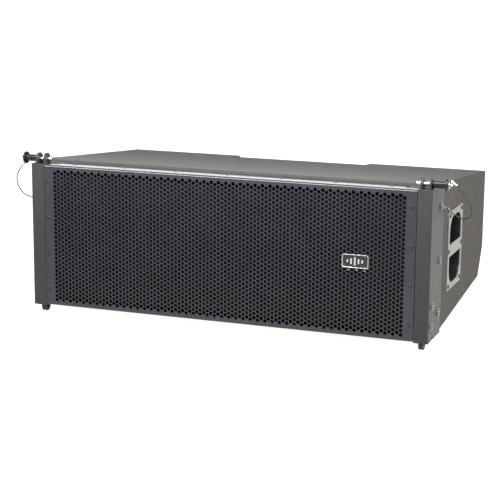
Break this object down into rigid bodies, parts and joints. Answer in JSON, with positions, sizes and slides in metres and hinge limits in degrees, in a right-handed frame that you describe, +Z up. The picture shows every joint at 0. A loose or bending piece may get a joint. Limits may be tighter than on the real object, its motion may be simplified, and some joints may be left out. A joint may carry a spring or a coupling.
{
  "type": "line array speaker",
  "caption": "Two-way line array loudspeaker module: wedge-shaped plywood cabinet, perforated front grille, corner rigging with quick-release pins, and side handles.",
  "frame": {"origin": "under the middle of the module, at the feet of the two link tongues that it stands on", "axes": "+X to the right across the front, +Y from the grille to the rear, +Z up"},
  "size_m": [0.9178, 0.4876, 0.3178],
  "materials": {
    "textured_black_paint": "birch plywood in charcoal black textured paint",
    "grille_steel": "perforated sheet steel, satin black powder coat",
    "black_foam": "open-cell black foam",
    "black_screws": "black zinc",
    "badge_metal": "dark moulded badge with a bright rim",
    "rigging_steel": "dark grey powder coat",
    "pin_chrome": "bright plated steel",
    "pin_black": "black anodised",
    "lanyard_wire": "stranded steel wire in clear grey sleeve",
    "handle_satin": "satin nickel plated",
    "cup_black": "pressed steel, black",
    "basket_alloy": "cast, black coated",
    "motor_steel": "black zinc plates and ferrite",
    "cone_paper": "treated paper pulp",
    "surround_cloth": "doped cloth",
    "horn_plastic": "moulded black",
    "circuit_board": "glass epoxy laminate",
    "crossover_parts": "copper windings and capacitor cans",
    "input_panel": "black powder coat",
    "socket_plastic": "moulded dark"
  },
  "bodies": {
    "cabinet": {"cabinet_top": "textured_black_paint", "cabinet_bottom": "textured_black_paint", "cabinet_left_side": "textured_black_paint", "cabinet_right_side": "textured_black_paint", "rear_boards": "textured_black_paint", "recess_boards": "textured_black_paint", "cabinet_braces": "textured_black_paint", "baffle": "textured_black_paint", "grille": "grille_steel", "grille_foam": "black_foam", "grille_screws": "black_screws", "panel_screws": "black_screws", "rigging_fasteners": "black_screws", "woofer_screws": "black_screws", "badge": "badge_metal", "left_corner_angle": "rigging_steel", "right_corner_angle": "rigging_steel", "left_ear_plates": "rigging_steel", "right_ear_plates": "rigging_steel", "left_link_tongue": "rigging_steel", "right_link_tongue": "rigging_steel", "rigging_blocks": "rigging_steel", "rear_bracket": "rigging_steel", "lanyard_anchors": "pin_chrome", "link_pivot": "pin_chrome", "left_handle_plate": "handle_satin", "right_handle_plate": "handle_satin", "left_handle_cup": "cup_black", "right_handle_cup": "cup_black", "left_woofer_basket": "basket_alloy", "right_woofer_basket": "basket_alloy", "left_woofer_motor": "motor_steel", "right_woofer_motor": "motor_steel", "compression_drivers": "motor_steel", "left_woofer_surround": "surround_cloth", "right_woofer_surround": "surround_cloth", "left_woofer_spider": "surround_cloth", "right_woofer_spider": "surround_cloth", "horn_flare": "horn_plastic", "waveguide": "horn_plastic", "crossover_board": "circuit_board", "crossover_components": "crossover_parts", "input_plate": "input_panel", "input_sockets": "socket_plastic"},
    "left_pin": {"left_pin_shank": "pin_chrome", "left_pin_handle": "pin_black", "left_pin_eye": "pin_chrome", "left_lanyard": "lanyard_wire"},
    "right_pin": {"right_pin_shank": "pin_chrome", "right_pin_handle": "pin_black", "right_pin_eye": "pin_chrome", "right_lanyard": "lanyard_wire"},
    "rear_pin": {"rear_pin_shank": "pin_chrome", "rear_pin_handle": "pin_black"},
    "left_button": {"left_pin_button": "pin_chrome"},
    "right_button": {"right_pin_button": "pin_chrome"},
    "rear_button": {"rear_pin_button": "pin_chrome"},
    "rear_link": {"splay_link": "rigging_steel"},
    "left_cone": {"left_woofer_cone": "cone_paper"},
    "right_cone": {"right_woofer_cone": "cone_paper"}
  },
  "joints": [
    {"name": "left_pin_slide", "type": "slide", "parent": "cabinet", "child": "left_pin", "axis": [-1, 0, 0], "range_m": [0, 0.036]},
    {"name": "right_pin_slide", "type": "slide", "parent": "cabinet", "child": "right_pin", "axis": [1, 0, 0], "range_m": [0, 0.036]},
    {"name": "rear_pin_slide", "type": "slide", "parent": "cabinet", "child": "rear_pin", "axis": [1, 0, 0], "range_m": [0, 0.036]},
    {"name": "left_button_press", "type": "slide", "parent": "left_pin", "child": "left_button", "axis": [1, 0, 0], "range_m": [0, 0.0025], "stiffness_N_per_m": 300},
    {"name": "right_button_press", "type": "slide", "parent": "right_pin", "child": "right_button", "axis": [-1, 0, 0], "range_m": [0, 0.0025], "stiffness_N_per_m": 300},
    {"name": "rear_button_press", "type": "slide", "parent": "rear_pin", "child": "rear_button", "axis": [-1, 0, 0], "range_m": [0, 0.0025], "stiffness_N_per_m": 300},
    {"name": "rear_link_swing", "type": "hinge", "parent": "cabinet", "child": "rear_link", "pos_m": [0, 0.22075, 0.238], "axis": [1, 0, 0], "range_deg": [0, 170]},
    {"name": "left_cone_travel", "type": "slide", "parent": "cabinet", "child": "left_cone", "axis": [0, 1, 0], "range_m": [-0.006, 0.006], "stiffness_N_per_m": 2500, "deforming": ["left_woofer_surround", "left_woofer_spider"]},
    {"name": "right_cone_travel", "type": "slide", "parent": "cabinet", "child": "right_cone", "axis": [0, 1, 0], "range_m": [-0.006, 0.006], "stiffness_N_per_m": 2500, "deforming": ["right_woofer_surround", "right_woofer_spider"]}
  ]
}
